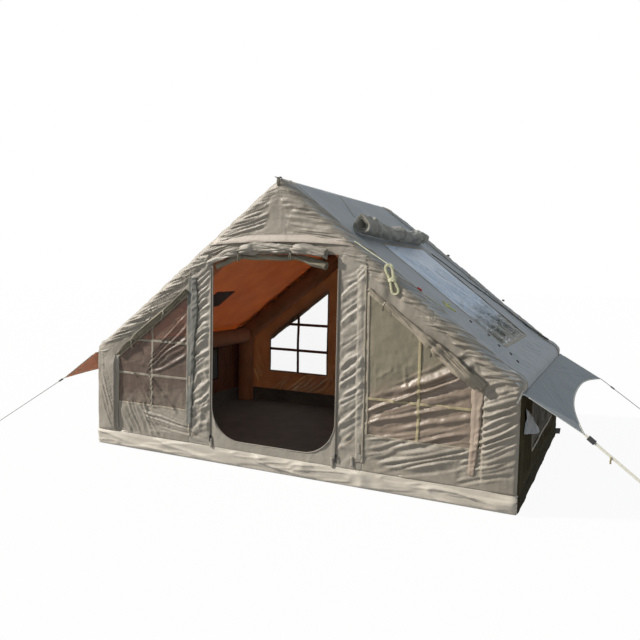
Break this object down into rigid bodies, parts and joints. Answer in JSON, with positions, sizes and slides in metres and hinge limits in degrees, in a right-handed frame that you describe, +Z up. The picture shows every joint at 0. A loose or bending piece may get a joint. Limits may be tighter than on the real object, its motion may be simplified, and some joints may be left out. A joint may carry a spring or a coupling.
{
  "type": "camping tent",
  "caption": "Inflatable-frame ridge tent with a doorway gable, clear windows, a skylight, rolled covers, eave awnings and guy ropes on pegs.",
  "frame": {"origin": "middle of the groundsheet's underside, on the ground", "axes": "+X across the tent, along the doorway wall's width; -Y out through the doorway; +Z up"},
  "size_m": [4.964, 2.158, 1.8599],
  "materials": {
    "wall_cloth": "khaki coated oxford cloth outside, rust orange inside, creased",
    "roof_cloth": "grey-blue coated oxford cloth outside, rust orange inside",
    "floor_cloth": "pale coated groundsheet cloth",
    "mesh_cloth": "dark olive mesh, rolled",
    "window_film": "clear soft film, slightly wavy",
    "window_tape": "dull yellow-green woven tape",
    "tube_cloth": "dark sleeve cloth over the air tubes",
    "zip_tape": "black zip tape",
    "zip_metal": "black painted metal",
    "guy_rope": "thin grey braided rope",
    "guy_strap": "pale grey flat webbing",
    "spare_rope": "cream braided rope",
    "black_plastic": "black moulded plastic",
    "peg_steel": "plain steel"
  },
  "bodies": {
    "tent": {"groundsheet": "floor_cloth", "front_left_panel": "wall_cloth", "front_right_panel": "wall_cloth", "front_gable_panel": "wall_cloth", "door_surround_panel": "wall_cloth", "rear_wall": "wall_cloth", "left_wall": "wall_cloth", "right_wall": "wall_cloth", "left_roof": "roof_cloth", "right_roof": "roof_cloth", "left_awning": "roof_cloth", "right_awning": "roof_cloth", "door_rain_flap": "wall_cloth", "front_left_film": "window_film", "front_right_film": "window_film", "rear_left_film": "window_film", "rear_right_film": "window_film", "left_side_film": "window_film", "right_side_film": "window_film", "skylight_film": "window_film", "front_left_tapes": "window_tape", "front_right_tapes": "window_tape", "rear_left_tapes": "window_tape", "rear_right_tapes": "window_tape", "front_arch_tube": "tube_cloth", "rear_arch_tube": "tube_cloth", "ridge_tube": "tube_cloth", "left_eave_tube": "tube_cloth", "right_eave_tube": "tube_cloth", "outer_door_roll": "wall_cloth", "mesh_door_roll": "mesh_cloth", "front_left_cover_roll": "wall_cloth", "front_right_cover_roll": "wall_cloth", "rear_left_cover_roll": "wall_cloth", "rear_right_cover_roll": "wall_cloth", "skylight_cover_roll": "roof_cloth", "left_zip_track": "zip_tape", "right_zip_track": "zip_tape", "front_left_guy_rope": "guy_rope", "front_right_guy_rope": "guy_strap", "rear_left_guy_rope": "guy_rope", "rear_right_guy_rope": "guy_rope", "front_left_peg": "peg_steel", "front_right_peg": "peg_steel", "rear_left_peg": "peg_steel", "rear_right_peg": "peg_steel", "spare_guy_upper_line": "spare_rope", "spare_guy_hank": "spare_rope", "spare_guy_lower_line": "spare_rope", "valve_body": "black_plastic"},
    "left_slider": {"left_zip_slider": "zip_metal"},
    "right_slider": {"right_zip_slider": "zip_metal"},
    "left_pull": {"left_zip_pull": "zip_metal"},
    "right_pull": {"right_zip_pull": "zip_metal"},
    "front_left_slide": {"front_left_runner": "black_plastic"},
    "front_right_slide": {"front_right_runner": "black_plastic"},
    "rear_left_slide": {"rear_left_runner": "black_plastic"},
    "rear_right_slide": {"rear_right_runner": "black_plastic"},
    "cap": {"valve_cap": "black_plastic"}
  },
  "joints": [
    {"name": "left_zip_travel", "type": "slide", "parent": "tent", "child": "left_slider", "axis": [0, 0, 1], "range_m": [0, 1.1]},
    {"name": "right_zip_travel", "type": "slide", "parent": "tent", "child": "right_slider", "axis": [0, 0, 1], "range_m": [0, 1.1]},
    {"name": "left_pull_swing", "type": "hinge", "parent": "left_slider", "child": "left_pull", "pos_m": [-0.4934, -1.0102, 0.1773], "axis": [-1, 0, 0], "range_deg": [0, 120]},
    {"name": "right_pull_swing", "type": "hinge", "parent": "right_slider", "child": "right_pull", "pos_m": [0.4234, -1.0102, 0.1773], "axis": [-1, 0, 0], "range_deg": [0, 120]},
    {"name": "front_left_runner_travel", "type": "slide", "parent": "tent", "child": "front_left_slide", "axis": [-0.8489, -0.079, -0.5226], "range_m": [0, 0.3]},
    {"name": "front_right_runner_travel", "type": "slide", "parent": "tent", "child": "front_right_slide", "axis": [0.8014, -0.0823, -0.5924], "range_m": [0, 0.3]},
    {"name": "rear_left_runner_travel", "type": "slide", "parent": "tent", "child": "rear_left_slide", "axis": [-0.8489, 0.079, -0.5226], "range_m": [0, 0.3]},
    {"name": "rear_right_runner_travel", "type": "slide", "parent": "tent", "child": "rear_right_slide", "axis": [0.8014, 0.0823, -0.5924], "range_m": [0, 0.3]},
    {"name": "cap_flip", "type": "hinge", "parent": "tent", "child": "cap", "pos_m": [1.418, 0.8284, 0.2377], "axis": [1, 0, 0], "range_deg": [0, 110]}
  ]
}
